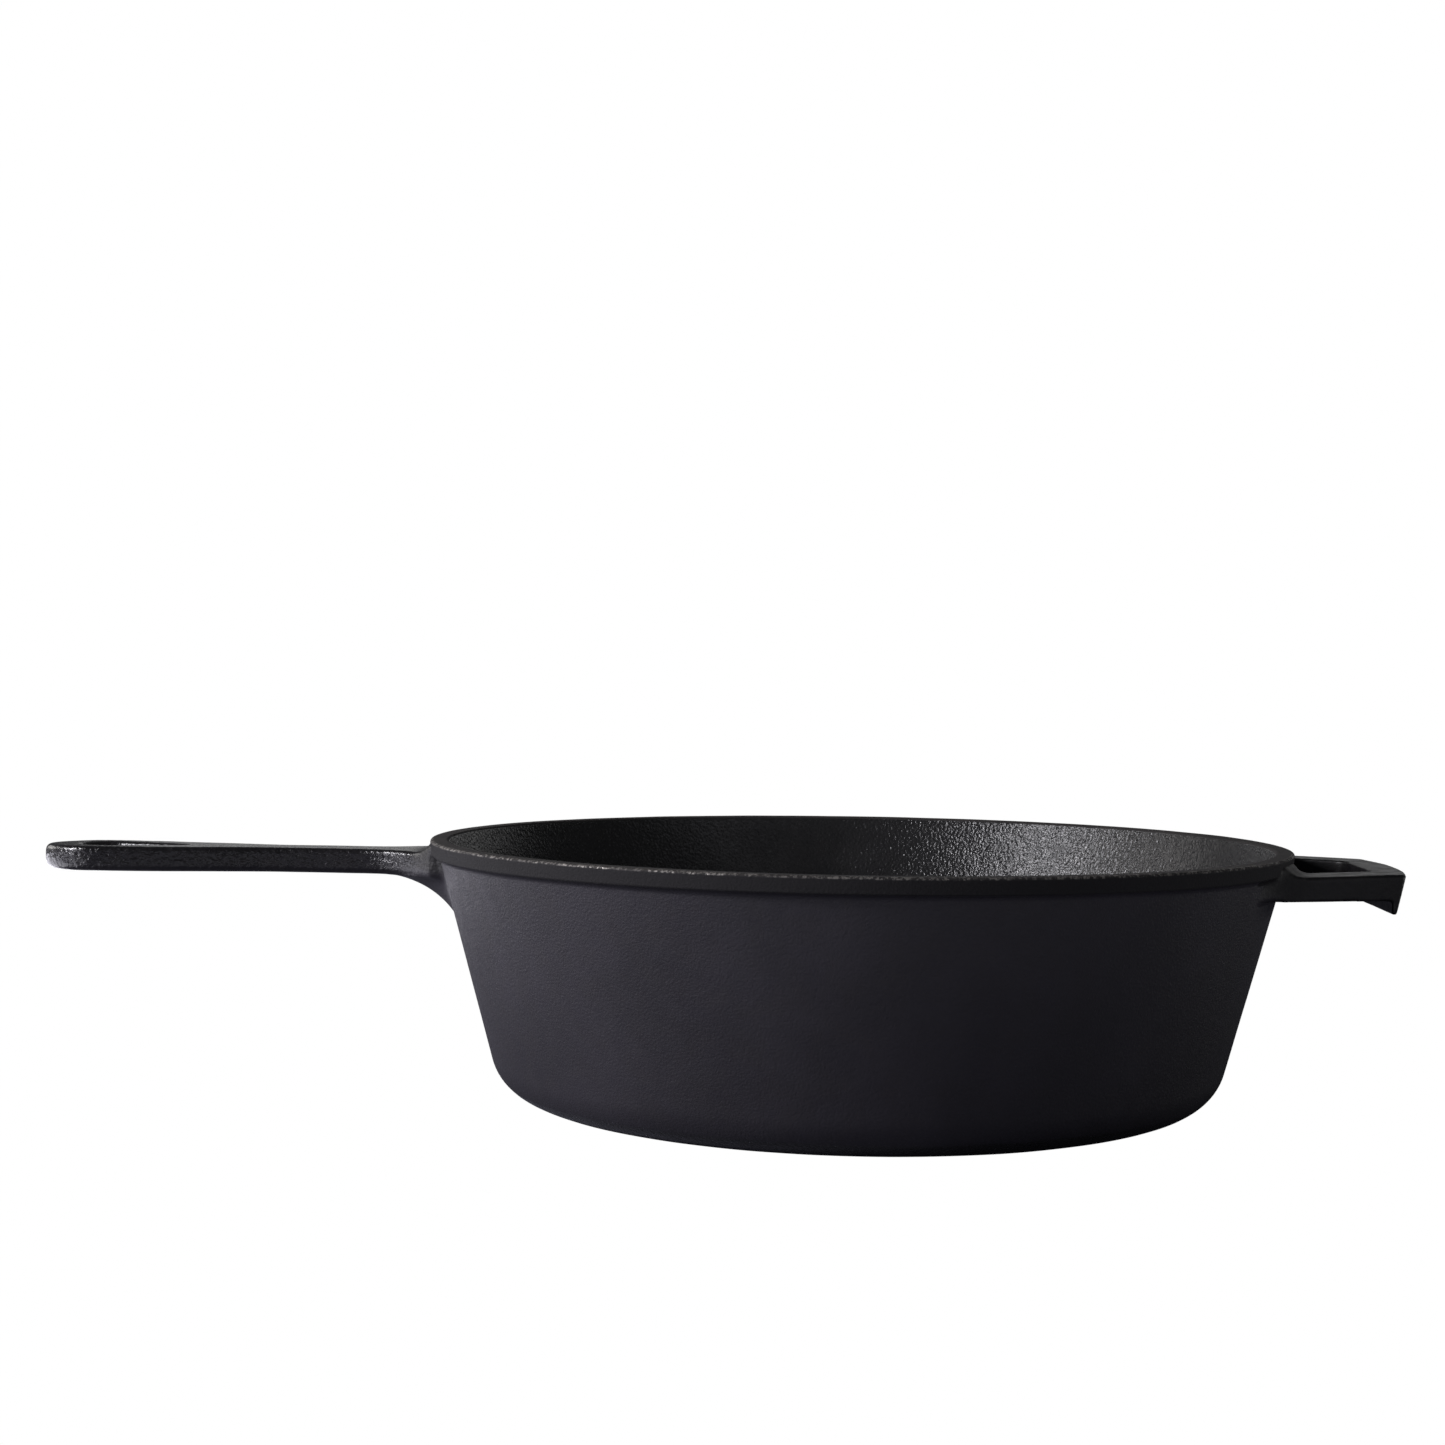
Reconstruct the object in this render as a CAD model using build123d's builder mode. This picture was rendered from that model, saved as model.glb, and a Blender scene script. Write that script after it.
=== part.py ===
"""Deep cast iron pan: a tapered pot with a long slotted handle and a helper loop.

The real object is one casting. It is modelled as the regions that a foundry drawing
names, each a closed solid that meets its neighbours face to face.

Millimetres. The origin is the centre of the base, on the surface that the pan stands
on. +Z is up, and the helper loop points along +X, so the long handle points along -X.
"""

import os
from math import cos, radians, sin, sqrt, tan

from build123d import *

# ---------------------------------------------------------------- driving dimensions

# Bowl
RIM_RADIUS = 152.0  # outside of the rim: a 12 inch pan
HEIGHT = 90.0
WALL_TAPER = 15.2  # degrees that the wall leans outward from upright
WALL_THICKNESS = 4.4
FLOOR_THICKNESS = 4.6
BASE_CORNER_RADIUS = 18.0
RIM_LAND_WIDTH = 6.6  # flat top of the rim

# Rim band, the thicker ring that stands proud of the wall
BAND_HEIGHT = 5.4
BAND_DRAFT = 0.7  # how much smaller the band is at its lower edge
BAND_STEP = 2.5  # how far the band stands out from the wall
BAND_BLEND = 1.0  # height of the hollow blend under the band
BLEND_FOOT_ROUND = 0.9
BLEND_TOP_ROUND = 0.5
RIM_OUTER_ROUND = 0.9
RIM_INNER_ROUND = 1.2
RIM_NECK_ROUND = 20.0  # inside, where the rim runs into the wall

# Where the casting is divided into its named regions
FLOOR_RADIUS = 111.0  # flat disc of the floor, inside the heel
HEEL_HEIGHT = 15.5
BAND_SPLIT = HEIGHT - BAND_HEIGHT - BAND_BLEND

# Long handle
HANDLE_END = 295.3  # distance from the pan's centre to the tip
HANDLE_DROP = 5.4  # rim top to the handle's upper face
HANDLE_THICKNESS = 8.9
GRIP_HALF_WIDTH = 16.6
GRIP_MID_HALF_WIDTH = 13.0  # halfway between the grip's widest place and the neck
GRIP_END_LENGTH = 21.0  # length of the half ellipse that ends the grip
NECK_HALF_WIDTH = 8.2
NECK_START = 180.0  # where the neck starts to widen towards the rim
NECK_END = 204.0
FLARE_RADIUS = 35.0  # hollow curve from the neck into the rim
FLARE_ANGLE = 57.0
HANDLE_INSET = 14.0  # how far the handle's plan runs on inside the wall
HANDLE_TOP_ROUND = 1.3
HANDLE_UNDER_ROUND = 2.4

# Teardrop hanging slot in the long handle
SLOT_CENTRE = 272.5
SLOT_RADIUS = 9.4
SLOT_TAIL = 246.0
SLOT_TAIL_RADIUS = 2.2

# Web, the hollow gusset under the root of the long handle
WEB_RADIUS = 36.6  # in the middle; the hollow gets smaller towards either side
WEB_HALF_WIDTH = 24.5
WEB_LAST_STATION = 22.4
WEB_STATIONS = 11
WEB_SPREAD = 1.6  # how full the web stays before it narrows
WEB_SINK = 0.6  # how far the web's arc runs into the wall, so that the two cross
WEB_TOE = 10.0  # depth of the web's section inside the wall

# Helper loop
HELPER_DROP = 5.8
HELPER_ROOT = 144.8  # distance from the centre where the root sizes are taken
HELPER_ROOT_HALF_WIDTH = 56.4
HELPER_ROOT_THICKNESS = 8.1
HELPER_CORNER = 185.3
HELPER_CORNER_HALF_WIDTH = 35.2
HELPER_CORNER_THICKNESS = 9.0
HELPER_END = 189.2
HELPER_CORNER_ROUND = 4.5
HELPER_EDGE_ROUND = 1.0
HELPER_FLARE_RADIUS = 50.0  # hollow curve from the loop's sides into the wall
HELPER_FLARE_BASE = 146.0  # radius, just inside the wall, that the curve runs down to
LOOP_RAIL_WIDTH = 17.0  # width of the side rails, measured along Y
LOOP_END = 177.0
LOOP_CORNER_ROUND = 7.0

# Lip that turns down along the end of the helper loop
LIP_BOTTOM = 70.8
LIP_INNER_FACE = 180.3  # distance from the centre to the lip's flat inner face
END_DRAFT = 12.5  # degrees, on the loop's end face and the lip's outer face

# Hollow step from the rim down to the upper face of either handle
ROOT_STEP_RADIUS = 5.6
ROOT_STEP_INSET = 5.0  # how far the step's section runs in under the rim
ROOT_STEP_SINK = 1.0  # how far it runs down into the handle

# ---------------------------------------------------------------- derived dimensions

HANDLE_TOP = HEIGHT - HANDLE_DROP
HANDLE_BOTTOM = HANDLE_TOP - HANDLE_THICKNESS
HELPER_TOP = HEIGHT - HELPER_DROP
HELPER_DEPTH = HELPER_TOP - LIP_BOTTOM
WALL_SLOPE = tan(radians(WALL_TAPER))
BAND_BOTTOM = HEIGHT - BAND_HEIGHT
BAND_BOTTOM_RADIUS = RIM_RADIUS - BAND_DRAFT
WALL_TOP_RADIUS = BAND_BOTTOM_RADIUS - BAND_STEP
INNER_CORNER_RADIUS = BASE_CORNER_RADIUS - WALL_THICKNESS


def outer_radius(z):
    """Radius of the wall's outer face at height z, below the rim band."""
    return WALL_TOP_RADIUS - (BAND_BOTTOM - z) * WALL_SLOPE


def inner_radius(z):
    """Radius of the wall's inner face at height z."""
    return outer_radius(z) - WALL_THICKNESS / cos(radians(WALL_TAPER))


# ---------------------------------------------------------------- shared features


def outer_points():
    """Half section of the bowl's outside, from the axis to the rim's outer edge."""
    return [
        (0, 0),
        (outer_radius(0), 0),
        (outer_radius(BAND_BOTTOM - BAND_BLEND), BAND_BOTTOM - BAND_BLEND),
        (BAND_BOTTOM_RADIUS, BAND_BOTTOM),
        (RIM_RADIUS, HEIGHT),
    ]


def inner_points():
    """Half section of the bowl's inside, from the rim's inner edge to the axis."""
    return [
        (RIM_RADIUS - RIM_LAND_WIDTH, HEIGHT),
        (inner_radius(BAND_BOTTOM), BAND_BOTTOM),
        (inner_radius(FLOOR_THICKNESS), FLOOR_THICKNESS),
        (0, FLOOR_THICKNESS),
    ]


OUTER_ROUNDS = [BASE_CORNER_RADIUS, BLEND_FOOT_ROUND, BLEND_TOP_ROUND, RIM_OUTER_ROUND]
INNER_ROUNDS = [RIM_INNER_ROUND, RIM_NECK_ROUND, INNER_CORNER_RADIUS]

# Section of the whole bowl, floor to rim
with BuildSketch(Plane.XZ) as bowl_section:
    with BuildLine():
        wall_line = FilletPolyline(
            *outer_points(), *inner_points(), radius=OUTER_ROUNDS + INNER_ROUNDS
        )
        Line(wall_line @ 1, wall_line @ 0)
    make_face()

# Section of the bowl filled solid, which the handles are cut back from
with BuildSketch(Plane.XZ) as bowl_outside:
    with BuildLine():
        outside_line = FilletPolyline(*outer_points(), (0, HEIGHT), radius=OUTER_ROUNDS)
        Line(outside_line @ 1, outside_line @ 0)
    make_face()


def root_step_section(upper_face):
    """Section of the hollow step that falls from the rim's top to a handle's face."""
    top = HEIGHT - RIM_OUTER_ROUND
    foot = RIM_RADIUS + ROOT_STEP_RADIUS
    inside = RIM_RADIUS - ROOT_STEP_INSET
    bottom = upper_face - ROOT_STEP_SINK
    with BuildSketch(Plane.XZ) as section:
        with BuildLine():
            Polyline((RIM_RADIUS, top), (inside, top), (inside, bottom), (foot, bottom))
            Line((foot, bottom), (foot, upper_face))
            EllipticalCenterArc(
                (foot, top), ROOT_STEP_RADIUS, top - upper_face, start_angle=180, arc_size=90
            )
        make_face()
    return section.sketch


# Plan of the long handle: elliptical end, waisted neck, flare into the rim
flare = radians(FLARE_ANGLE)
flare_end = (
    -NECK_START + FLARE_RADIUS * sin(flare),
    NECK_HALF_WIDTH + FLARE_RADIUS * (1 - cos(flare)),
)
grip_x = GRIP_END_LENGTH - HANDLE_END
with BuildSketch(Plane.XY.offset(HANDLE_BOTTOM)) as handle_plan:
    with BuildLine():
        EllipticalCenterArc(
            (grip_x, 0), GRIP_END_LENGTH, GRIP_HALF_WIDTH, start_angle=90, arc_size=90
        )
        Spline(
            (grip_x, GRIP_HALF_WIDTH),
            ((grip_x - NECK_END) / 2, GRIP_MID_HALF_WIDTH),
            (-NECK_END, NECK_HALF_WIDTH),
            tangents=((1, 0), (1, 0)),
        )
        Line((-NECK_END, NECK_HALF_WIDTH), (-NECK_START, NECK_HALF_WIDTH))
        RadiusArc((-NECK_START, NECK_HALF_WIDTH), flare_end, -FLARE_RADIUS)
        plan_root = flare_end[0] + HANDLE_INSET
        Polyline(flare_end, (plan_root, flare_end[1]), (plan_root, 0))
        mirror(about=Plane.XZ)
    make_face()

# Teardrop hanging slot, its point towards the pan
with BuildSketch(Plane.XY.offset(HANDLE_BOTTOM)) as handle_slot:
    with Locations((-SLOT_CENTRE, 0)):
        Circle(SLOT_RADIUS)
    with Locations((-SLOT_TAIL, 0)):
        Circle(SLOT_TAIL_RADIUS)
    make_hull()

# Plan of the helper loop: a trapezoid whose end is a shallow arc
loop_slope = (HELPER_ROOT_HALF_WIDTH - HELPER_CORNER_HALF_WIDTH) / (HELPER_CORNER - HELPER_ROOT)
with BuildSketch(Plane.XY.offset(LIP_BOTTOM)) as helper_plan:
    with BuildLine():
        end_arc = ThreePointArc(
            (HELPER_CORNER, -HELPER_CORNER_HALF_WIDTH),
            (HELPER_END, 0),
            (HELPER_CORNER, HELPER_CORNER_HALF_WIDTH),
        )
        inside_x = HELPER_ROOT / 2
        inside_y = HELPER_ROOT_HALF_WIDTH + loop_slope * (HELPER_ROOT - inside_x)
        Polyline(end_arc @ 1, (inside_x, inside_y), (inside_x, -inside_y), end_arc @ 0)
    make_face()
    fillet(vertices().group_by(Axis.X)[-1], radius=HELPER_CORNER_ROUND)
    Circle(HELPER_FLARE_BASE)
    rim_meets = vertices().filter_by_position(Axis.X, inside_x + 1, HELPER_ROOT)
    fillet(rim_meets, radius=HELPER_FLARE_RADIUS)
    with Locations((HELPER_END, 0)):
        Rectangle(2 * (HELPER_END - inside_x), 2 * inside_y, mode=Mode.INTERSECT)

# Finger hole: the loop's plan less its rails, open to the rim
with BuildSketch(Plane.XY.offset(LIP_BOTTOM)) as finger_hole:
    with BuildLine():
        hole_root = HELPER_ROOT_HALF_WIDTH - LOOP_RAIL_WIDTH
        hole_end = hole_root - loop_slope * (LOOP_END - HELPER_ROOT)
        Polyline(
            (HELPER_ROOT, -hole_root),
            (LOOP_END, -hole_end),
            (LOOP_END, hole_end),
            (HELPER_ROOT, hole_root),
            close=True,
        )
    make_face()
    fillet(vertices().group_by(Axis.X)[-1], radius=LOOP_CORNER_ROUND)

# Disc whose tapered extrusion drafts the loop's end face and the lip's outer face
sagitta = HELPER_END - HELPER_CORNER
end_radius = (HELPER_CORNER_HALF_WIDTH**2 + sagitta**2) / (2 * sagitta)
with BuildSketch(Plane.XY.offset(HELPER_TOP)) as end_disc:
    with Locations((HELPER_END - end_radius, 0)):
        Circle(end_radius)

# The loop's underside, which falls a little towards its end
underside_fall = HELPER_CORNER_THICKNESS - HELPER_ROOT_THICKNESS
underside = Plane(
    origin=(HELPER_ROOT, 0, HELPER_TOP - HELPER_ROOT_THICKNESS),
    x_dir=(HELPER_CORNER - HELPER_ROOT, 0, -underside_fall),
    z_dir=(underside_fall, 0, HELPER_CORNER - HELPER_ROOT),
)

# ---------------------------------------------------------------- the bowl

with BuildPart() as pan_floor:
    Cylinder(FLOOR_RADIUS, FLOOR_THICKNESS, align=(Align.CENTER, Align.CENTER, Align.MIN))

with BuildPart() as heel:
    revolve(bowl_section.sketch, axis=Axis.Z)
    split(bisect_by=Plane.XY.offset(HEEL_HEIGHT), keep=Keep.BOTTOM)
    Cylinder(FLOOR_RADIUS, HEIGHT, mode=Mode.SUBTRACT)

with BuildPart() as side_wall:
    revolve(bowl_section.sketch, axis=Axis.Z)
    split(bisect_by=Plane.XY.offset(HEEL_HEIGHT), keep=Keep.TOP)
    split(bisect_by=Plane.XY.offset(BAND_SPLIT), keep=Keep.BOTTOM)

with BuildPart() as rim_band:
    revolve(bowl_section.sketch, axis=Axis.Z)
    split(bisect_by=Plane.XY.offset(BAND_SPLIT), keep=Keep.TOP)

# ---------------------------------------------------------------- the long handle

with BuildPart() as handle_step:
    revolve(root_step_section(HANDLE_TOP), axis=Axis.Z)
    extrude(handle_plan.sketch, amount=HEIGHT, mode=Mode.INTERSECT)

with BuildPart() as long_handle:
    extrude(handle_plan.sketch, amount=HANDLE_THICKNESS)
    extrude(handle_slot.sketch, amount=HANDLE_THICKNESS, mode=Mode.SUBTRACT)
    fillet(edges().group_by(Axis.Z)[-1], radius=HANDLE_TOP_ROUND)
    fillet(edges().group_by(Axis.Z)[0], radius=HANDLE_UNDER_ROUND)
    add(handle_step.part)
    revolve(bowl_outside.sketch, axis=Axis.Z, mode=Mode.SUBTRACT)


def web_section(y):
    """The web's section at y: a hollow arc from the handle's underside to the wall."""
    radius = WEB_RADIUS * (1 - (abs(y) / WEB_HALF_WIDTH) ** WEB_SPREAD)
    wall = -sqrt(outer_radius(HANDLE_BOTTOM) ** 2 - y**2)
    lean = radians(90 - WALL_TAPER)
    start = wall - radius * tan(lean / 2) + WEB_SINK
    end = (start + radius * sin(lean), HANDLE_BOTTOM - radius * (1 - cos(lean)))
    with BuildSketch(Plane.XZ.offset(-y)) as section:
        with BuildLine():
            RadiusArc((start, HANDLE_BOTTOM), end, radius)
            Polyline(end, (wall + WEB_TOE, end[1]), (wall + WEB_TOE, HANDLE_BOTTOM))
            Line((wall + WEB_TOE, HANDLE_BOTTOM), (start, HANDLE_BOTTOM))
        make_face()
    return section.sketch


# The hollow web that carries the load of the long handle down into the wall
web_step = 2 * WEB_LAST_STATION / (WEB_STATIONS - 1)
web_sections = [web_section(k * web_step - WEB_LAST_STATION) for k in range(WEB_STATIONS)]
with BuildPart() as handle_root_web:
    loft(web_sections)
    revolve(bowl_outside.sketch, axis=Axis.Z, mode=Mode.SUBTRACT)

# ---------------------------------------------------------------- the helper loop

with BuildPart() as helper_step:
    revolve(root_step_section(HELPER_TOP), axis=Axis.Z)
    extrude(helper_plan.sketch, amount=HEIGHT, mode=Mode.INTERSECT)

with BuildPart() as helper_handle:
    extrude(helper_plan.sketch, amount=HELPER_DEPTH)
    fillet(edges().group_by(Axis.Z)[-1], radius=HELPER_EDGE_ROUND)
    extrude(end_disc.sketch, amount=-HELPER_DEPTH, taper=END_DRAFT, mode=Mode.INTERSECT)
    add(helper_step.part)
    extrude(finger_hole.sketch, amount=HEIGHT, mode=Mode.SUBTRACT)
    revolve(bowl_outside.sketch, axis=Axis.Z, mode=Mode.SUBTRACT)
    split(bisect_by=underside, keep=Keep.TOP)

with BuildPart() as helper_lip:
    extrude(helper_plan.sketch, amount=HELPER_DEPTH)
    extrude(end_disc.sketch, amount=-HELPER_DEPTH, taper=END_DRAFT, mode=Mode.INTERSECT)
    split(bisect_by=underside, keep=Keep.BOTTOM)
    split(bisect_by=Plane.YZ.offset(LIP_INNER_FACE), keep=Keep.TOP)

# ---------------------------------------------------------------- output

nodes = {
    "pan_floor": pan_floor,
    "heel": heel,
    "side_wall": side_wall,
    "rim_band": rim_band,
    "long_handle": long_handle,
    "handle_root_web": handle_root_web,
    "helper_handle": helper_handle,
    "helper_lip": helper_lip,
}
os.makedirs("parts", exist_ok=True)
for name, node in nodes.items():
    node.part.label = name
    export_step(node.part, f"parts/{name}.step")
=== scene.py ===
"""Looks for the deep cast iron pan: fine cast meshes, seasoned iron, studio and camera.

Metres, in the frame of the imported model: the origin is the centre of the base, +Z is
up, the long handle points along -X and the helper loop along +X.
"""

from math import acos, ceil, cos, pi, radians, sin, tan

import bpy
import numpy as np
from mathutils import Matrix, Vector, noise


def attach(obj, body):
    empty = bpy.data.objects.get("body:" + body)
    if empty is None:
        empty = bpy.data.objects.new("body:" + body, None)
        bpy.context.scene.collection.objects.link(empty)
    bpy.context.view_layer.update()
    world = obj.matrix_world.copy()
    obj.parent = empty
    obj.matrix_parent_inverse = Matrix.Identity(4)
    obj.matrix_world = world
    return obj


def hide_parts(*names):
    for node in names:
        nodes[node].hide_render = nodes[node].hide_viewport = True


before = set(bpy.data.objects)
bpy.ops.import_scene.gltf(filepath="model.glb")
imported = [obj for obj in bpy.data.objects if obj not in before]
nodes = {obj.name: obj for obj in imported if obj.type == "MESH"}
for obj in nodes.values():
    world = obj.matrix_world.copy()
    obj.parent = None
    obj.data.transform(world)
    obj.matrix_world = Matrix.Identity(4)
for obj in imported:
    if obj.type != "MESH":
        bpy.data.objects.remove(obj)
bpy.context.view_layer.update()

# ---------------------------------------------------------------- the pan's section

RIM_RADIUS = 0.1520
HEIGHT = 0.0900
WALL_TAPER = radians(15.2)
WALL_THICKNESS = 0.0044
FLOOR_THICKNESS = 0.0046
BAND_HEIGHT = 0.0054
BAND_BLEND = 0.0010
BAND_DRAFT = 0.0007
BAND_STEP = 0.0025
LAND_WIDTH = 0.0066
FLOOR_RADIUS = 0.1110
HEEL_HEIGHT = 0.0155

BASE_ROUND = 0.0180
BLEND_ROUND = 0.0022
BAND_FOOT_ROUND = 0.0009
RIM_OUTER_ROUND = 0.0009
RIM_INNER_ROUND = 0.0012
THROAT_ROUND = 0.0200
INNER_HEEL_ROUND = 0.0136

WALL_SLOPE = tan(WALL_TAPER)
WALL_ACROSS = WALL_THICKNESS / cos(WALL_TAPER)
BAND_BOTTOM = HEIGHT - BAND_HEIGHT
BAND_SPLIT = BAND_BOTTOM - BAND_BLEND
BAND_FOOT_RADIUS = RIM_RADIUS - BAND_DRAFT
WALL_TOP_RADIUS = BAND_FOOT_RADIUS - BAND_STEP
LAND_INNER_RADIUS = RIM_RADIUS - LAND_WIDTH

PROFILE_STEP = 0.0015
ARC_STEP = radians(9)
ARC_LEAST_STEPS = 4
SEGMENTS = 576
TINY = 1e-6
SAME_PLACE = 1e-7
NEAR_ZERO = 1e-15


def outer_radius(z):
    """Radius of the wall's outer face at height z."""
    return WALL_TOP_RADIUS - (BAND_BOTTOM - z) * WALL_SLOPE


def inner_radius(z):
    """Radius of the wall's inner face at height z."""
    return outer_radius(z) - WALL_ACROSS


def rounded(points, rounds):
    """The line through 2-D points, its inner corners rounded, as a dense list of points."""
    line = [Vector(points[0])]
    for before, corner, after, radius in zip(points, points[1:], points[2:], rounds):
        corner = Vector(corner)
        back = (Vector(before) - corner).normalized()
        on = (Vector(after) - corner).normalized()
        half = acos(back.dot(on)) / 2
        centre = corner + (back + on).normalized() * (radius / sin(half))
        first = corner + back * (radius / tan(half)) - centre
        last = corner + on * (radius / tan(half)) - centre
        turn = first.angle_signed(last)
        count = max(
            ARC_LEAST_STEPS,
            ceil(abs(turn) / ARC_STEP),
            ceil(abs(turn) * radius / PROFILE_STEP),
        )
        for k in range(count + 1):
            a = -turn * k / count
            spoke = (first.x * cos(a) - first.y * sin(a), first.x * sin(a) + first.y * cos(a))
            line.append(centre + Vector(spoke))
    line.append(Vector(points[-1]))
    dense = [line[0]]
    for a, b in zip(line, line[1:]):
        count = max(1, ceil((b - a).length / PROFILE_STEP))
        dense += [a.lerp(b, (k + 1) / count) for k in range(count)]
    return dense


def cut_at(line, axis, value):
    """Adds a point to the line wherever its coordinate on the axis passes the value."""
    made = [line[0]]
    for a, b in zip(line, line[1:]):
        share = (value - a[axis]) / (b[axis] - a[axis]) if a[axis] != b[axis] else -1
        if TINY < share < 1 - TINY:
            made.append(a.lerp(b, share))
        made.append(b)
    return made


section = rounded(
    [
        (0, 0),
        (outer_radius(0), 0),
        (outer_radius(BAND_SPLIT), BAND_SPLIT),
        (BAND_FOOT_RADIUS, BAND_BOTTOM),
        (RIM_RADIUS, HEIGHT),
        (LAND_INNER_RADIUS, HEIGHT),
        (inner_radius(BAND_BOTTOM), BAND_BOTTOM),
        (inner_radius(FLOOR_THICKNESS), FLOOR_THICKNESS),
        (0, FLOOR_THICKNESS),
    ],
    [
        BASE_ROUND,
        BLEND_ROUND,
        BAND_FOOT_ROUND,
        RIM_OUTER_ROUND,
        RIM_INNER_ROUND,
        THROAT_ROUND,
        INNER_HEEL_ROUND,
    ],
)
for axis, value in ((0, FLOOR_RADIUS), (1, HEEL_HEIGHT), (1, BAND_SPLIT)):
    section = cut_at(section, axis, value)
section = np.array(section)


# ---------------------------------------------------------------- mesh helpers

# The casting's slight waves, each with its size and its height.
RELIEF = ((0.018, 0.00006), (0.0050, 0.00001))


def relief(points):
    """Height of the cast surface's slight waves at each point."""
    heights = np.zeros(len(points))
    for size, height in RELIEF:
        heights += [height * noise.noise(Vector(p) / size) for p in points]
    return heights


def mesh_piece(name, points, faces, normals, flat_faces=()):
    """A mesh object whose shading follows the given point normals, save on flat faces."""
    mesh = bpy.data.meshes.new(name)
    mesh.from_pydata(points.tolist(), [], faces)
    mesh.update()
    corner_point = np.zeros(len(mesh.loops), int)
    mesh.loops.foreach_get("vertex_index", corner_point)
    corners = normals[corner_point]
    face_normals = np.zeros(len(mesh.polygons) * 3)
    mesh.polygons.foreach_get("normal", face_normals)
    counts = np.zeros(len(mesh.polygons), int)
    mesh.polygons.foreach_get("loop_total", counts)
    of_face = np.repeat(np.arange(len(counts)), counts)
    is_flat = np.array([i in flat_faces for i in range(len(counts))])
    flat = is_flat[of_face]
    corners[flat] = face_normals.reshape(-1, 3)[of_face][flat]
    mesh.polygons.foreach_set("use_smooth", np.ones(len(counts), bool))
    mesh.normals_split_custom_set(corners.tolist())
    piece = bpy.data.objects.new(name, mesh)
    bpy.context.scene.collection.objects.link(piece)
    return piece


# ---------------------------------------------------------------- the bowl

angles = np.arange(SEGMENTS) * 2 * pi / SEGMENTS
circle = np.stack([np.cos(angles), np.sin(angles)], axis=1)
along = np.gradient(section, axis=0)
along /= np.linalg.norm(along, axis=1, keepdims=True)
grid = np.empty((len(section), SEGMENTS, 3))
grid[:, :, :2] = section[:, None, :1] * circle
grid[:, :, 2] = section[:, None, 1]
outward = np.empty_like(grid)
outward[:, :, :2] = along[:, None, 1:] * circle
outward[:, :, 2] = -along[:, :1]
lift = relief(grid.reshape(-1, 3)).reshape(grid.shape[:2])
on_base = section[:, 1] < TINY
lift[on_base] = 0
grid += outward * lift[:, :, None]
up_section = np.gradient(grid, axis=0)
round_ring = np.roll(grid, -1, axis=1) - np.roll(grid, 1, axis=1)
shading = np.cross(round_ring, up_section)
shading[0] = (0, 0, -1)
shading[-1] = (0, 0, 1)
shading /= np.maximum(np.linalg.norm(shading, axis=2, keepdims=True), NEAR_ZERO)


def ring_at(axis, value, last=False):
    """Index of the first or last ring of the section at that coordinate."""
    found = np.flatnonzero(np.abs(section[:, axis] - value) < SAME_PLACE)
    return int(found[-1] if last else found[0])


def bowl_piece(name, rings, closed):
    """The part of the bowl between these rings of the grid.

    The rings of a closed piece join up, the last with the first. An open one ends in a
    face across its first ring and another across its last.
    """
    points = grid[rings].reshape(-1, 3)
    normals = shading[rings].reshape(-1, 3)
    faces = []
    flat = []
    count = len(rings)
    for k in range(count if closed else count - 1):
        n = (k + 1) % count
        if abs(rings[n] - rings[k]) != 1:
            flat += range(len(faces), len(faces) + SEGMENTS)
        for s in range(SEGMENTS):
            t = (s + 1) % SEGMENTS
            faces.append((k * SEGMENTS + s, k * SEGMENTS + t, n * SEGMENTS + t, n * SEGMENTS + s))
    if not closed:
        faces.append(tuple(range(SEGMENTS))[::-1])
        faces.append(tuple((count - 1) * SEGMENTS + s for s in range(SEGMENTS)))
        flat += [len(faces) - 2, len(faces) - 1]
    return mesh_piece(name, points, faces, normals, set(flat))


floor_out, floor_in = ring_at(0, FLOOR_RADIUS), ring_at(0, FLOOR_RADIUS, last=True)
heel_out, heel_in = ring_at(1, HEEL_HEIGHT), ring_at(1, HEEL_HEIGHT, last=True)
band_out, band_in = ring_at(1, BAND_SPLIT), ring_at(1, BAND_SPLIT, last=True)
last_ring = len(section) - 2

pieces = {
    "pan_floor": bowl_piece(
        "floor_cast",
        [*range(1, floor_out + 1), *range(floor_in, last_ring + 1)],
        closed=False,
    ),
    "heel": bowl_piece(
        "heel_cast",
        [*range(floor_out, heel_out + 1), *range(heel_in, floor_in + 1)],
        closed=True,
    ),
    "side_wall": bowl_piece(
        "side_wall_cast",
        [*range(heel_out, band_out + 1), *range(band_in, heel_in + 1)],
        closed=True,
    ),
    "rim_band": bowl_piece(
        "rim_band_cast",
        [*range(band_out, band_in + 1)],
        closed=True,
    ),
}

# ---------------------------------------------------------------- the handles

VOXEL = 0.0006
PLUG_DEPTH = 0.0026
PLUG_TOP = HEIGHT - 0.0011
PLUG_TURN = radians(0.5)
SINK = 0.00014  # how far a handle's mesh sinks into the wall where the two run together
SINK_REACH = 0.0006

# The slab of skin behind each handle: its lowest height, half its angle, its direction.
LONG_PLUG = (0.040, radians(17), pi)
HELPER_PLUG = (0.066, radians(30), 0)

# Smoothing: how much of a move is made, and the share of it that goes back so that the
# whole handle doesn't shrink.
EASE_STRENGTH = 0.5
EASE_BACK = 1.04
EASE_PASSES = 8

# Softer places. A distance from the wall or a height is full up to the first number and
# gone at the second. The handle's end starts at the first and is full at the second.
WEB_REACH = (0.010, 0.030)
WEB_HEIGHTS = (0.0690, 0.0757)
WEB_PASSES = 160
ROOT_REACH = (0.002, 0.012)
ROOT_PASSES = 22
END_REACH = (0.280, 0.292)
END_PASSES = 26
HELPER_REACH = (0.001, 0.006)
HELPER_PASSES = 20

from_land = np.abs(section[:, 0] - LAND_INNER_RADIUS) + np.abs(section[:, 1] - HEIGHT)
land_ring = int(np.argmin(from_land))
outside = section[floor_out : land_ring + 1]


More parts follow.
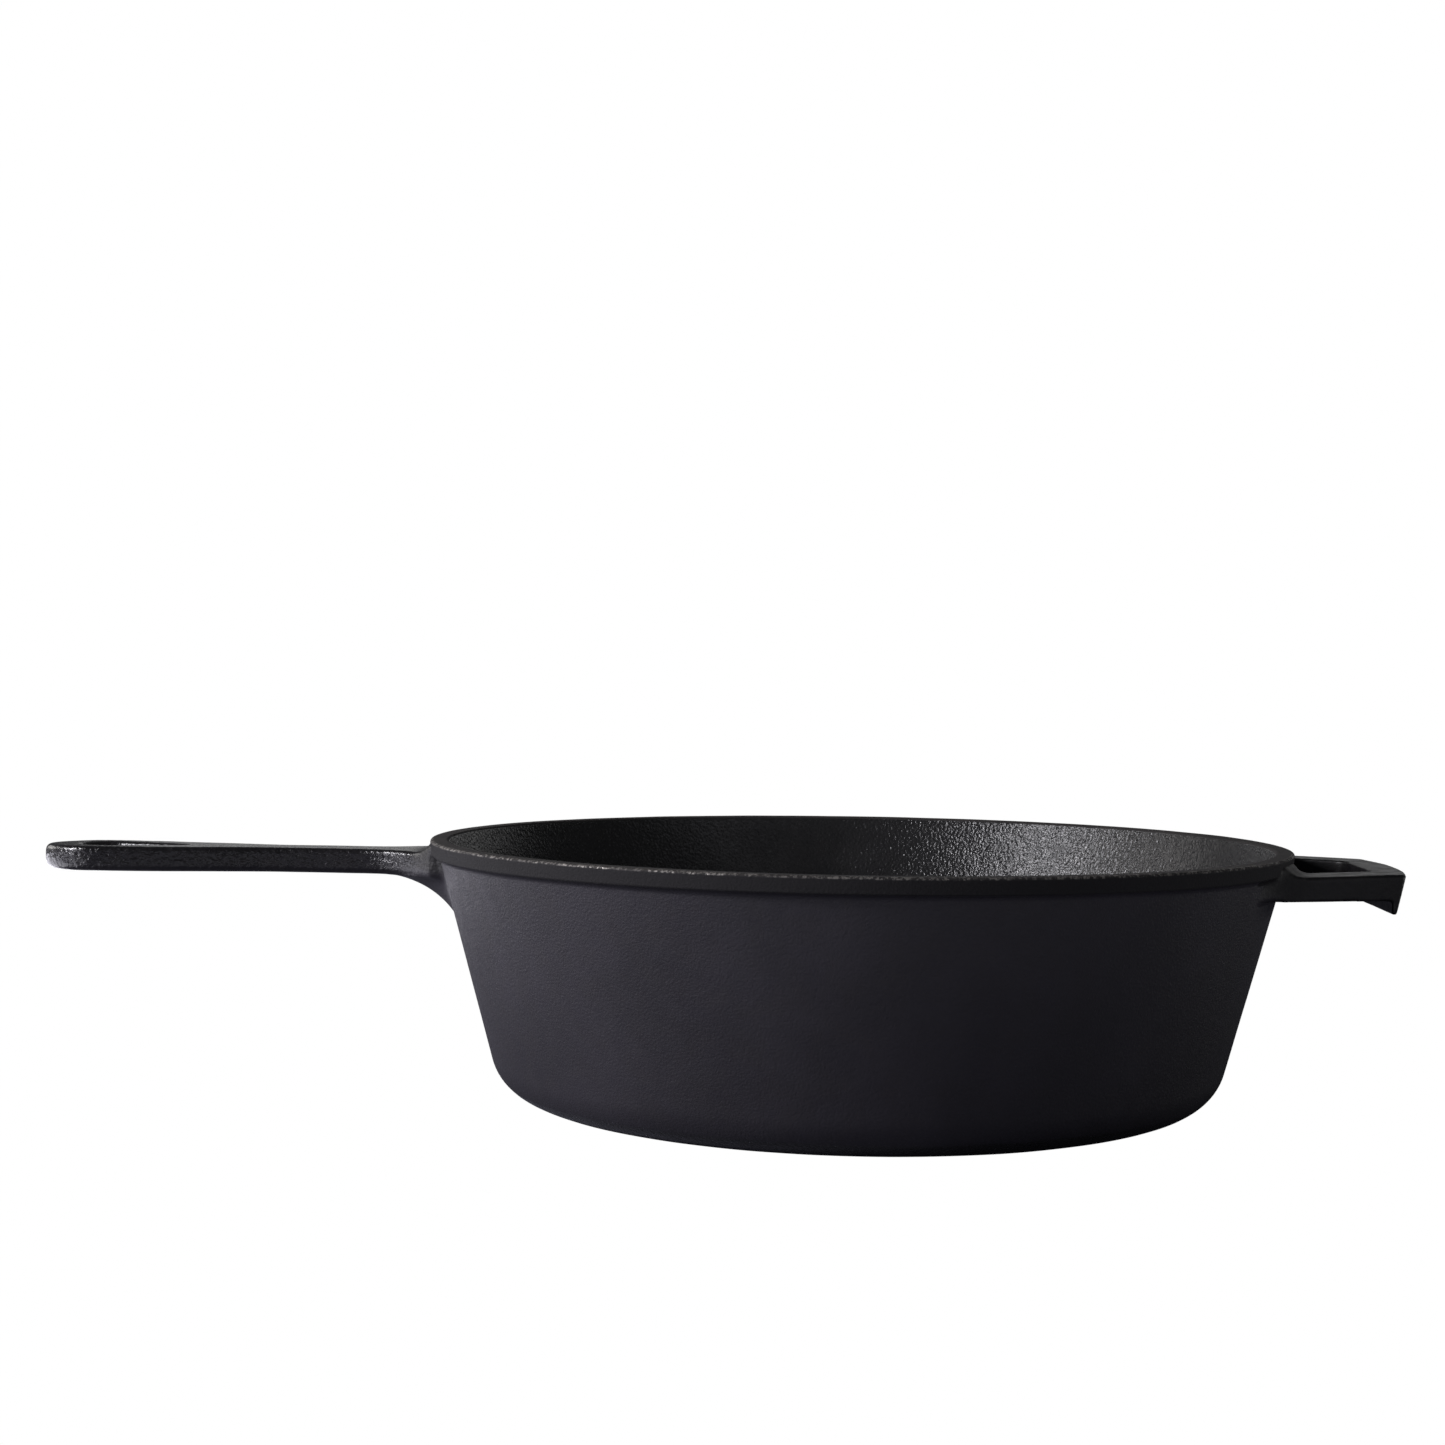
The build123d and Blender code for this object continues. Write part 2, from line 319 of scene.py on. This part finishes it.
def from_outside(points):
    """Signed distance of each point from the bowl's outer surface, and the way out."""
    flat = np.stack([np.hypot(points[:, 0], points[:, 1]), points[:, 2]], axis=1)
    best = np.full(len(points), np.inf)
    way = np.zeros((len(points), 2))
    side = np.zeros(len(points))
    for a, b in zip(outside, outside[1:]):
        run = b - a
        share = np.clip(((flat - a) @ run) / (run @ run), 0, 1)
        gap = flat - (a + share[:, None] * run)
        distance = np.linalg.norm(gap, axis=1)
        nearer = distance < best
        out = np.array([run[1], -run[0]]) / np.linalg.norm(run)
        best[nearer] = distance[nearer]
        way[nearer] = out
        side[nearer] = (gap @ out)[nearer]
    signed = np.where(side < 0, -best, best)
    radial = flat[:, :1]
    direction = np.concatenate([points[:, :2] / radial * way[:, :1], way[:, 1:]], axis=1)
    return signed, direction


def plug(low, half_angle, middle):
    """Points and faces of a slab of the bowl's outer skin that a handle grows out of."""
    rows = outside[(outside[:, 1] >= low) & (outside[:, 1] <= PLUG_TOP)]
    back = rows - (PLUG_DEPTH, 0)
    back[:, 1] = np.minimum(back[:, 1], HEIGHT - PLUG_DEPTH)
    loop = np.concatenate([rows, back[::-1]])
    count = ceil(half_angle * 2 / PLUG_TURN)
    turns = np.linspace(middle - half_angle, middle + half_angle, count)
    points = []
    for turn in turns:
        points += [(r * cos(turn), r * sin(turn), z) for r, z in loop]
    n = len(loop)
    faces = []
    for k in range(len(turns) - 1):
        for i in range(n):
            j = (i + 1) % n
            faces.append((k * n + i, (k + 1) * n + i, (k + 1) * n + j, k * n + j))
    for k, order in ((0, 1), (len(turns) - 1, -1)):
        for i in range(n // 2 - 1):
            quad = (k * n + i, k * n + i + 1, k * n + n - 2 - i, k * n + n - 1 - i)
            faces.append(quad[::order])
    return points, faces


def remeshed(name, sources, extra):
    """One even mesh round the union of the source nodes and the extra points and faces."""
    points = []
    faces = []
    for source in sources:
        mesh = nodes[source].data
        base = len(points)
        points += [v.co[:] for v in mesh.vertices]
        faces += [tuple(base + i for i in p.vertices) for p in mesh.polygons]
    base = len(points)
    points += extra[0]
    faces += [tuple(base + i for i in f) for f in extra[1]]
    mesh = bpy.data.meshes.new(name)
    mesh.from_pydata(points, [], faces)
    blank = bpy.data.objects.new(name, mesh)
    bpy.context.scene.collection.objects.link(blank)
    remesh = blank.modifiers.new("even", "REMESH")
    remesh.mode = "VOXEL"
    remesh.voxel_size = VOXEL
    dg = bpy.context.evaluated_depsgraph_get()
    even = bpy.data.meshes.new_from_object(blank.evaluated_get(dg))
    bpy.data.objects.remove(blank)
    co = np.zeros(len(even.vertices) * 3)
    even.vertices.foreach_get("co", co)
    edges = np.zeros(len(even.edges) * 2, int)
    even.edges.foreach_get("vertices", edges)
    return co.reshape(-1, 3), [tuple(p.vertices) for p in even.polygons], edges.reshape(-1, 2)


def eased(points, edges, weight, passes, back=0.0):
    """Moves each point towards its neighbours' mean by its weight, then back by a share."""
    count = np.bincount(edges.ravel(), minlength=len(points)).astype(float)[:, None]
    for _ in range(passes):
        for share in (1.0, -back) if back else (1.0,):
            mean = np.zeros_like(points)
            for axis in range(3):
                mean[:, axis] += np.bincount(edges[:, 0], points[edges[:, 1], axis], len(points))
                mean[:, axis] += np.bincount(edges[:, 1], points[edges[:, 0], axis], len(points))
            points = points + share * weight[:, None] * (mean / count - points)
    return points


def ramp(values, start, end):
    """0 before start, 1 after end, smooth between."""
    t = np.clip((values - start) / (end - start), 0, 1)
    return t * t * (3 - 2 * t)


def near(values, full, gone):
    """1 up to the first value, 0 from the second, smooth between."""
    return ramp(-values, -gone, -full)


def point_normals(points, faces):
    """Normals of the points, from the faces round them."""
    quads = np.array([f if len(f) == 4 else (*f, f[-1]) for f in faces])
    a, b, c, d = (points[quads[:, k]] for k in range(4))
    across = np.cross(c - a, d - b)
    normals = np.zeros_like(points)
    for k in range(4):
        for axis in range(3):
            normals[:, axis] += np.bincount(quads[:, k], across[:, axis], len(points))
    return normals / np.maximum(np.linalg.norm(normals, axis=1, keepdims=True), NEAR_ZERO)


def cast_handle(name, sources, skin, soften):
    """A handle as one even casting that grows out of the wall with a soft blend."""
    points, faces, edges = remeshed(name, sources, skin)
    everywhere = np.full(len(points), EASE_STRENGTH)
    points = eased(points, edges, everywhere, EASE_PASSES, back=EASE_BACK)
    for weight, passes in soften(points):
        points = eased(points, edges, weight * EASE_STRENGTH, passes)
    signed, way = from_outside(points)
    points = points - way * (SINK * np.exp(-np.maximum(signed, 0) / SINK_REACH))[:, None]
    normals = point_normals(points, faces)
    points = points + normals * relief(points)[:, None]
    return mesh_piece(name, points, faces, point_normals(points, faces))


def soften_long(points):
    """Where the long handle's edges are softened, each with its number of passes."""
    signed, _ = from_outside(points)
    web = near(signed, *WEB_REACH) * near(points[:, 2], *WEB_HEIGHTS)
    root = near(signed, *ROOT_REACH)
    end = ramp(-points[:, 0], *END_REACH)
    return ((web, WEB_PASSES), (root, ROOT_PASSES), (end, END_PASSES))


def soften_helper(points):
    """Where the helper loop's edges are softened, with the number of passes."""
    signed, _ = from_outside(points)
    return ((near(signed, *HELPER_REACH), HELPER_PASSES),)


pieces["long_handle"] = cast_handle(
    "long_handle_cast",
    ["long_handle", "handle_root_web"],
    plug(*LONG_PLUG),
    soften_long,
)
pieces["helper_handle"] = cast_handle(
    "helper_loop_cast",
    ["helper_handle", "helper_lip"],
    plug(*HELPER_PLUG),
    soften_helper,
)

# ---------------------------------------------------------------- materials

# A dark, a light and a brown tone of the iron for each place.
WALL_TONES = ((0.0178, 0.0164, 0.0211, 1), (0.0225, 0.0206, 0.0266, 1), (0.0205, 0.0182, 0.0201, 1))
INSIDE_TONES = ((0.0100, 0.0100, 0.0106, 1), (0.0160, 0.0158, 0.0165, 1), (0.0140, 0.0130, 0.0128, 1))
LAND_TONES = ((0.0150, 0.0135, 0.0135, 1), (0.0260, 0.0235, 0.0225, 1), (0.0240, 0.0190, 0.0165, 1))
HANDLE_TONES = ((0.0028, 0.0025, 0.0032, 1), (0.0062, 0.0056, 0.0070, 1), (0.0070, 0.0054, 0.0050, 1))
# Painted shade: a darker colour for the outside of the rim band, standing in for the shade the lights
# don't give it.
BAND_SHADE_COLOUR = (0.0040, 0.0035, 0.0042, 1)
WORN_COLOUR = (0.24, 0.225, 0.21, 1)

# Noise: its size, detail and roughness.
BLOTCH = (0.034, 3.0, 0.55)
CLOUD = (0.009, 4.0, 0.6)
SPECK = (0.0009, 2.0, 0.6)
SHINE = (0.006, 4.0, 0.6)
WORN_BREAKS = (0.0014, 3.0, 0.7)
WORN_PATCHES = (0.03, 2.0, 0.5)
PEBBLES = (0.0011, 2.0, 0.5)
HANDLE_PEBBLES = (0.0013, 2.0, 0.5)
RIPPLES = (0.0021, 2.0, 0.5)
SAND = (0.0008, 3.0, 0.6)
HANDLE_SAND = (0.0006, 3.0, 0.6)

# The noise values between which each kind of mark comes in.
BLOTCH_SPAN = (0.36, 0.66)
CLOUD_SPAN = (0.40, 0.70)
SPECK_SPAN = (0.50, 0.74)
SHINE_SPAN = (0.30, 0.75)
WORN_BREAK_SPAN = (0.46, 0.62)
WORN_PATCH_SPAN = (0.30, 0.60)

# How strongly marks cover what is under them.
CLOUD_SHARE = 0.30
SPECK_SHARE = 0.40
BAND_SHADE_SHARE = 0.9
WORN_SHARES = (0.30, 1.0)
WORN_METAL = 0.75

# Roughness, from the lowest to the highest value of the shine noise.
WALL_ROUGH = (0.50, 0.59)
INSIDE_ROUGH = (0.20, 0.30)
BAND_ROUGH = (0.86, 0.86, 0.86, 1)
WORN_ROUGH = (0.34, 0.34, 0.34, 1)

# Heights of bumps, and sizes of the round spots among the pebbles.
PEBBLE_BUMP = 0.00041
RIPPLE_BUMP = 0.00005
SAND_BUMP = 0.00021
HANDLE_SAND_BUMP = 0.00005
SPOT_SIZE = 0.0014
SPOT_BUMP = 0.00010
HANDLE_SPOT_SIZE = 0.0022
HANDLE_SPOT_SHARE = 0.5
SPOT_SMOOTHNESS = 0.6

# Heights and radii between which one finish turns into another.
MIDDLE_SPAN = (-0.0006, 0.0006)
FLOOR_SPAN = (0.0018, 0.0028)
LAND_SPAN = (0.0891, 0.0897)
# Heights over which the painted shade on the rim band comes in.
BAND_SHADE_SPAN = (0.0842, 0.0847)
WORN_RADII = (0.1504, 0.1511)
WORN_HEIGHTS = (0.0890, 0.0896)
HANDLE_TOP_SPAN = (0.0760, 0.0800)
POLISHED_RADII = (0.1530, 0.1610)

IRON_IOR = 1.5
BOWL_GLOSS = 0.32
HANDLE_GLOSS = 0.44
HELPER_GLOSS = 0.24


class Nodes:
    """Short ways to add and link shader nodes."""

    def __init__(self, name):
        self.material = bpy.data.materials.new(name)
        self.material.use_nodes = True
        self.tree = self.material.node_tree
        self.shader = self.tree.nodes["Principled BSDF"]
        self.place = self.tree.nodes.new("ShaderNodeTexCoord").outputs["Object"]

    def put(self, kind, **inputs):
        node = self.tree.nodes.new(kind)
        for key, value in inputs.items():
            self.set(node.inputs[key.replace("_", " ")], value)
        return node

    def set(self, socket, value):
        if isinstance(value, bpy.types.NodeSocket):
            self.tree.links.new(value, socket)
        else:
            socket.default_value = value

    def math(self, operation, a, b=0.0):
        node = self.tree.nodes.new("ShaderNodeMath")
        node.operation = operation
        self.set(node.inputs[0], a)
        self.set(node.inputs[1], b)
        return node.outputs[0]

    def times(self, a, b):
        return self.math("MULTIPLY", a, b)

    def rest_of(self, share):
        return self.math("SUBTRACT", 1.0, share)

    def noise(self, size, detail, rough):
        node = self.put("ShaderNodeTexNoise", Vector=self.place, Scale=1 / size, Detail=detail)
        node.inputs["Roughness"].default_value = rough
        return node.outputs["Fac"]

    def spots(self, size):
        node = self.tree.nodes.new("ShaderNodeTexVoronoi")
        node.feature = "SMOOTH_F1"
        self.set(node.inputs["Vector"], self.place)
        node.inputs["Scale"].default_value = 1 / size
        node.inputs["Smoothness"].default_value = SPOT_SMOOTHNESS
        return node.outputs["Distance"]

    def span(self, value, low, high, to_low=0.0, to_high=1.0):
        node = self.put("ShaderNodeMapRange", Value=value)
        node.interpolation_type = "SMOOTHSTEP"
        for socket, number in zip(list(node.inputs)[1:5], (low, high, to_low, to_high)):
            socket.default_value = number
        return node.outputs["Result"]

    def mix(self, share, a, b):
        node = self.tree.nodes.new("ShaderNodeMix")
        node.data_type = "RGBA"
        self.set(node.inputs["Factor"], share)
        self.set(node.inputs[6], a)
        self.set(node.inputs[7], b)
        return node.outputs[2]

    def bump(self, height, distance, strength, under=None):
        node = self.put("ShaderNodeBump", Height=height, Distance=distance, Strength=strength)
        if under is not None:
            self.tree.links.new(under, node.inputs["Normal"])
        return node.outputs["Normal"]


def radius_and_height(n):
    """A point's distance from the pan's axis, and its height above the base."""
    x, y, z = n.put("ShaderNodeSeparateXYZ", Vector=n.place).outputs
    return n.math("SQRT", n.math("ADD", n.times(x, x), n.times(y, y))), z


def inside_and_land(n, radius, z):
    """How far a point is on the bowl's inside, and how far on the rim's flat top."""
    middle = n.math("ADD", n.times(z, WALL_SLOPE), outer_radius(0) - WALL_ACROSS / 2)
    within = n.span(n.math("SUBTRACT", middle, radius), *MIDDLE_SPAN)
    above = n.span(z, *FLOOR_SPAN)
    land = n.span(z, *LAND_SPAN)
    return n.times(n.times(within, above), n.rest_of(land)), land


def finish(n, colour, roughness, metal, normal, gloss):
    """Links a finish to the shader. The numbers that are the same all over stay on it."""
    n.set(n.shader.inputs["Base Color"], colour)
    n.set(n.shader.inputs["Roughness"], roughness)
    n.set(n.shader.inputs["Metallic"], metal)
    n.set(n.shader.inputs["Normal"], normal)
    n.shader.inputs["IOR"].default_value = IRON_IOR
    n.shader.inputs["Specular IOR Level"].default_value = gloss
    return n.material


def blotched(n, tones):
    """Seasoning in three close tones, in blotches, clouds and fine specks."""
    dark, light, brown = tones
    blotch = n.span(n.noise(*BLOTCH), *BLOTCH_SPAN)
    cloud = n.span(n.noise(*CLOUD), *CLOUD_SPAN)
    speck = n.span(n.noise(*SPECK), *SPECK_SPAN)
    colour = n.mix(blotch, dark, light)
    colour = n.mix(n.times(cloud, CLOUD_SHARE), colour, brown)
    return n.mix(n.times(speck, SPECK_SHARE), colour, light)


def bowl_iron(name):
    """The bowl's finish: sand grain outside, pebbles inside, painted shade darkening the rim's outer
    strip, a worn rim.
    """
    n = Nodes(name)
    radius, z = radius_and_height(n)
    inside, land = inside_and_land(n, radius, z)
    outer = n.rest_of(inside)
    # Where shade is painted on the outside of the rim band; the same place is also made matte.
    band_shade_and_matte = n.times(n.times(n.span(z, *BAND_SHADE_SPAN), outer), BAND_SHADE_SHARE)
    edge = n.times(n.span(radius, *WORN_RADII), n.span(z, *WORN_HEIGHTS))
    broken = n.span(n.noise(*WORN_BREAKS), *WORN_BREAK_SPAN)
    patch = n.span(n.noise(*WORN_PATCHES), *WORN_PATCH_SPAN, *WORN_SHARES)
    worn = n.times(n.times(edge, broken), patch)

    colour = n.mix(inside, blotched(n, WALL_TONES), blotched(n, INSIDE_TONES))
    # Paints the outside of the rim band darker, as shade.
    colour = n.mix(band_shade_and_matte, colour, BAND_SHADE_COLOUR)
    colour = n.mix(land, colour, blotched(n, LAND_TONES))
    colour = n.mix(worn, colour, WORN_COLOUR)

    shine = n.noise(*SHINE)
    wall_rough = n.span(shine, *SHINE_SPAN, *WALL_ROUGH)
    inside_rough = n.span(shine, *SHINE_SPAN, *INSIDE_ROUGH)
    roughness = n.mix(inside, wall_rough, inside_rough)
    roughness = n.mix(band_shade_and_matte, roughness, BAND_ROUGH)
    roughness = n.mix(worn, roughness, WORN_ROUGH)

    normal = n.bump(n.noise(*PEBBLES), PEBBLE_BUMP, inside)
    normal = n.bump(n.spots(SPOT_SIZE), SPOT_BUMP, inside, normal)
    normal = n.bump(n.noise(*RIPPLES), RIPPLE_BUMP, outer, normal)
    normal = n.bump(n.noise(*SAND), SAND_BUMP, outer, normal)
    return finish(n, colour, roughness, n.times(worn, WORN_METAL), normal, BOWL_GLOSS)


def handle_iron(name, rough, pebble_bump, gloss, reach):
    """A handle's finish: satin seasoning over pebbles, that turns into the wall's near it."""
    n = Nodes(name)
    radius, z = radius_and_height(n)
    from_axis = n.math("SUBTRACT", radius, outer_radius(0))
    beyond = n.math("SUBTRACT", from_axis, n.times(z, WALL_SLOPE))
    free = n.math("MAXIMUM", n.span(beyond, 0.0, reach), n.span(z, *HANDLE_TOP_SPAN))
    polished = n.times(free, n.span(radius, *POLISHED_RADII))

    colour = n.mix(free, blotched(n, WALL_TONES), blotched(n, HANDLE_TONES))

    shine = n.noise(*SHINE)
    wall_rough = n.span(shine, *SHINE_SPAN, *WALL_ROUGH)
    handle_rough = n.span(shine, *SHINE_SPAN, *rough)
    roughness = n.mix(polished, wall_rough, handle_rough)

    normal = n.bump(n.noise(*HANDLE_PEBBLES), pebble_bump, free)
    normal = n.bump(n.spots(HANDLE_SPOT_SIZE), pebble_bump * HANDLE_SPOT_SHARE, free, normal)
    normal = n.bump(n.noise(*SAND), SAND_BUMP, n.rest_of(free), normal)
    normal = n.bump(n.noise(*HANDLE_SAND), HANDLE_SAND_BUMP, free, normal)
    return finish(n, colour, roughness, 0.0, normal, gloss)


FINISHES = {
    "bowl_iron": bowl_iron("bowl_iron"),
    "rim_iron": bowl_iron("rim_iron"),
    "handle_iron": handle_iron(
        "handle_iron",
        rough=(0.19, 0.29),
        pebble_bump=0.00032,
        gloss=HANDLE_GLOSS,
        reach=0.024,
    ),
    "helper_iron": handle_iron(
        "helper_iron",
        rough=(0.36, 0.50),
        pebble_bump=0.00008,
        gloss=HELPER_GLOSS,
        reach=0.006,
    ),
}
STANDS_FOR = {
    "pan_floor": ("bowl_iron", ["pan_floor"]),
    "heel": ("bowl_iron", ["heel"]),
    "side_wall": ("bowl_iron", ["side_wall"]),
    "rim_band": ("rim_iron", ["rim_band"]),
    "long_handle": ("handle_iron", ["long_handle", "handle_root_web"]),
    "helper_handle": ("helper_iron", ["helper_handle", "helper_lip"]),
}
for key, piece in pieces.items():
    slot, stands_for = STANDS_FOR[key]
    piece.data.materials.append(FINISHES[slot])
    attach(piece, "root")
    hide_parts(*stands_for)

# ---------------------------------------------------------------- studio

FLOOR_SIZE = 40.0
FLOOR_HEIGHT = -0.0004
PAPER_COLOUR = (0.18, 0.18, 0.22, 1)
PAPER_ROUGHNESS = 0.9
AIR_COLOUR = (0.96, 0.97, 1.0, 1)
AIR_STRENGTH = 0.10
WHITE = (1, 1, 1, 1)

# What the soft lights aim at, and their colours.
LEFT_OF_PAN = (-0.05, 0, 0.05)
PAN = (0, 0, 0.05)
VIOLET_LIGHT = (0.94, 0.92, 1.0)
VIOLET_GLOW = (0.93, 0.92, 1.0)
PALE_LIGHT = (0.97, 0.96, 1.0)
WARM_LIGHT = (1.0, 0.97, 0.95)
COOL_LIGHT = (0.93, 0.94, 1.0)
PLAIN_LIGHT = (1, 1, 1)

# The soft lights: name, place, aim, width and depth, power and colour. Each glow lies on
# the stage floor and faces straight up.
SOFT_LIGHTS = (
    ("low_key", (-1.17, -0.73, 0.34), LEFT_OF_PAN, (0.34, 0.24), 6.3, VIOLET_LIGHT),
    ("front_key", (-1.17, -0.51, 0.62), LEFT_OF_PAN, (0.30, 0.22), 17, PALE_LIGHT),
    ("high_key", (-1.20, 0.42, 0.42), LEFT_OF_PAN, (0.6, 0.4), 3, WARM_LIGHT),
    ("left_glow", (-0.72, 0.24, 0.004), (-0.72, 0.24, 1), (0.7, 0.9), 6.6, VIOLET_GLOW),
    ("front_glow", (0.20, -0.62, 0.004), (0.20, -0.62, 1), (1.1, 0.6), 1.9, COOL_LIGHT),
    ("front_fill", (1.35, -1.15, 0.24), PAN, (1.0, 0.4), 2.1, COOL_LIGHT),
    ("back", (0.25, 1.60, 0.40), PAN, (2.2, 0.4), 1.5, PLAIN_LIGHT),
    ("right", (1.40, 0.45, 0.06), PAN, (0.4, 0.10), 1.3, PLAIN_LIGHT),
)


def white_to_camera(tree, lit, white, output):
    """Links the lit shader to the output for every ray but the camera's, which see white."""
    path = tree.nodes.new("ShaderNodeLightPath")
    choose = tree.nodes.new("ShaderNodeMixShader")
    tree.links.new(path.outputs["Is Camera Ray"], choose.inputs["Fac"])
    tree.links.new(lit.outputs[0], choose.inputs[1])
    tree.links.new(white.outputs[0], choose.inputs[2])
    tree.links.new(choose.outputs[0], tree.nodes[output].inputs["Surface"])


def soft_light(name, place, aim, size, power, colour):
    """A rectangular softbox at a place, turned to face its aim."""
    data = bpy.data.lights.new(name, "AREA")
    data.shape = "RECTANGLE"
    data.size, data.size_y = size
    data.energy = power
    data.color = colour
    light = bpy.data.objects.new(name, data)
    light.location = place
    light.rotation_euler = (Vector(aim) - Vector(place)).to_track_quat("-Z", "Y").to_euler()
    light.visible_camera = False
    bpy.context.scene.collection.objects.link(light)


floor_mesh = bpy.data.meshes.new("studio_floor")
half_floor = FLOOR_SIZE / 2
floor_mesh.from_pydata(
    [
        (-half_floor, -half_floor, FLOOR_HEIGHT),
        (half_floor, -half_floor, FLOOR_HEIGHT),
        (half_floor, half_floor, FLOOR_HEIGHT),
        (-half_floor, half_floor, FLOOR_HEIGHT),
    ],
    [],
    [(0, 1, 2, 3)],
)
floor = bpy.data.objects.new("studio_floor", floor_mesh)
bpy.context.scene.collection.objects.link(floor)
paper = Nodes("studio_paper")
paper.shader.inputs["Base Color"].default_value = PAPER_COLOUR
paper.shader.inputs["Roughness"].default_value = PAPER_ROUGHNESS
paper.shader.inputs["Specular IOR Level"].default_value = 0.0
paper_white = paper.put("ShaderNodeEmission", Color=WHITE)
white_to_camera(paper.tree, paper.shader, paper_white, "Material Output")
floor.data.materials.append(paper.material)

world = bpy.data.worlds.new("studio")
world.use_nodes = True
bpy.context.scene.world = world
air = world.node_tree.nodes["Background"]
air.inputs["Color"].default_value = AIR_COLOUR
air.inputs["Strength"].default_value = AIR_STRENGTH
sky_white = world.node_tree.nodes.new("ShaderNodeBackground")
sky_white.inputs["Color"].default_value = WHITE
white_to_camera(world.node_tree, air, sky_white, "World Output")

for row in SOFT_LIGHTS:
    soft_light(*row)

# ---------------------------------------------------------------- camera

CAMERA_PLACE = (0, -0.8362, 0.1478)
CAMERA_YAW = radians(-3.36)
CAMERA_DIP = radians(1.10)
CAMERA_ROLL = radians(0.75)
CAMERA_LENS = 58.2  # lens and sensor in millimetres
CAMERA_SENSOR = 36

yaw_right = Vector((cos(CAMERA_YAW), -sin(CAMERA_YAW), 0))
forward = Vector(
    (cos(CAMERA_DIP) * sin(CAMERA_YAW), cos(CAMERA_DIP) * cos(CAMERA_YAW), -sin(CAMERA_DIP))
)
upright = yaw_right.cross(forward)
right = cos(CAMERA_ROLL) * yaw_right + sin(CAMERA_ROLL) * upright
up = cos(CAMERA_ROLL) * upright - sin(CAMERA_ROLL) * yaw_right
camera_data = bpy.data.cameras.new("camera")
camera_data.lens = CAMERA_LENS
camera_data.sensor_width = CAMERA_SENSOR
camera = bpy.data.objects.new("camera", camera_data)
placed = Matrix((right, up, -forward)).transposed().to_4x4()
placed.translation = CAMERA_PLACE
camera.matrix_world = placed
bpy.context.scene.collection.objects.link(camera)
bpy.context.scene.camera = camera
bpy.context.scene.view_settings.view_transform = "Standard"
bpy.context.scene.view_settings.look = "None"
